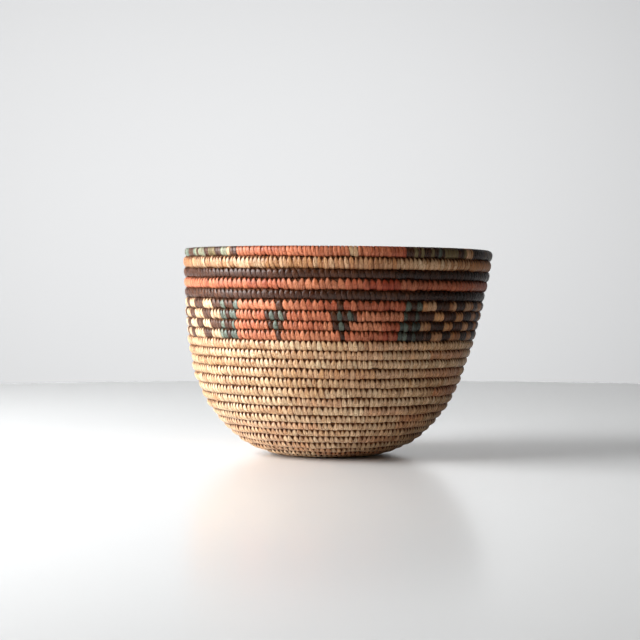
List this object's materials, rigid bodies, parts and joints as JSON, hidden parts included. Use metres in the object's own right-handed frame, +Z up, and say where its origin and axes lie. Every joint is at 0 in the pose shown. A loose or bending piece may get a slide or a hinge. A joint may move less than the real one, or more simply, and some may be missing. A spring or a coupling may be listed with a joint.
{
  "type": "coiled basket",
  "caption": "Open coiled basket: a grass coil sewn round with splints, small flat base, curved wall, patterned band and level rim.",
  "frame": {"origin": "middle of the base's underside, on the surface that the basket stands on", "axes": "+Z up out of the bowl, -Y towards the pictured front, +X to the right as pictured"},
  "size_m": [0.2052, 0.2021, 0.1376],
  "materials": {
    "straw_splint": "matte dried straw splint, sewn close",
    "tan_splint": "matte splint, dyed pale tan",
    "dark_splint": "matte splint, dyed dark brown",
    "terracotta_splint": "matte splint, dyed terracotta",
    "teal_splint": "matte splint, dyed grey teal",
    "cream_splint": "matte splint, pale cream",
    "foundation_grass": "dry grass bundle, wrapped out of sight"
  },
  "bodies": {
    "root": {"bar_back_left_row_6": "teal_splint", "bar_back_left_row_7": "teal_splint", "bar_back_left_row_8": "teal_splint", "bar_back_left_row_9": "teal_splint", "bar_back_right_row_6": "teal_splint", "bar_back_right_row_7": "teal_splint", "bar_back_right_row_8": "teal_splint", "bar_back_right_row_9": "teal_splint", "bar_front_left_row_6": "teal_splint", "bar_front_left_row_7": "teal_splint", "bar_front_left_row_8": "teal_splint", "bar_front_left_row_9": "teal_splint", "bar_front_right_row_6": "teal_splint", "bar_front_right_row_7": "teal_splint", "bar_front_right_row_8": "teal_splint", "bar_front_right_row_9": "teal_splint", "checks_left_row_6": "cream_splint", "checks_left_row_7": "cream_splint", "checks_left_row_8": "cream_splint", "checks_left_row_9": "cream_splint", "checks_right_row_6": "cream_splint", "checks_right_row_7": "cream_splint", "checks_right_row_8": "cream_splint", "checks_right_row_9": "cream_splint", "coil_start": "straw_splint", "dark_row_3": "dark_splint", "dark_row_5": "dark_splint", "grass_foundation": "foundation_grass", "panel_back_end_row_6": "terracotta_splint", "panel_back_row_6": "terracotta_splint", "panel_back_row_7": "terracotta_splint", "panel_back_row_8": "terracotta_splint", "panel_back_start_row_9": "terracotta_splint", "panel_front_row_6": "terracotta_splint", "panel_front_row_7": "terracotta_splint", "panel_front_row_8": "terracotta_splint", "panel_front_row_9": "terracotta_splint", "rim_back_end": "terracotta_splint", "rim_back_start": "terracotta_splint", "rim_front": "terracotta_splint", "rim_left_mixed": "teal_splint", "rim_right_mixed": "dark_splint", "straw_row_10": "straw_splint", "straw_row_11": "straw_splint", "straw_row_12": "straw_splint", "straw_row_13": "straw_splint", "straw_row_14": "straw_splint", "straw_row_15": "straw_splint", "straw_row_16": "straw_splint", "straw_row_17": "straw_splint", "straw_row_18": "straw_splint", "straw_row_19": "straw_splint", "straw_row_20": "straw_splint", "straw_row_21": "straw_splint", "straw_row_22": "straw_splint", "straw_row_23": "straw_splint", "straw_row_24": "straw_splint", "tan_row_2": "tan_splint", "terracotta_row_4": "terracotta_splint"}
  },
  "joints": []
}
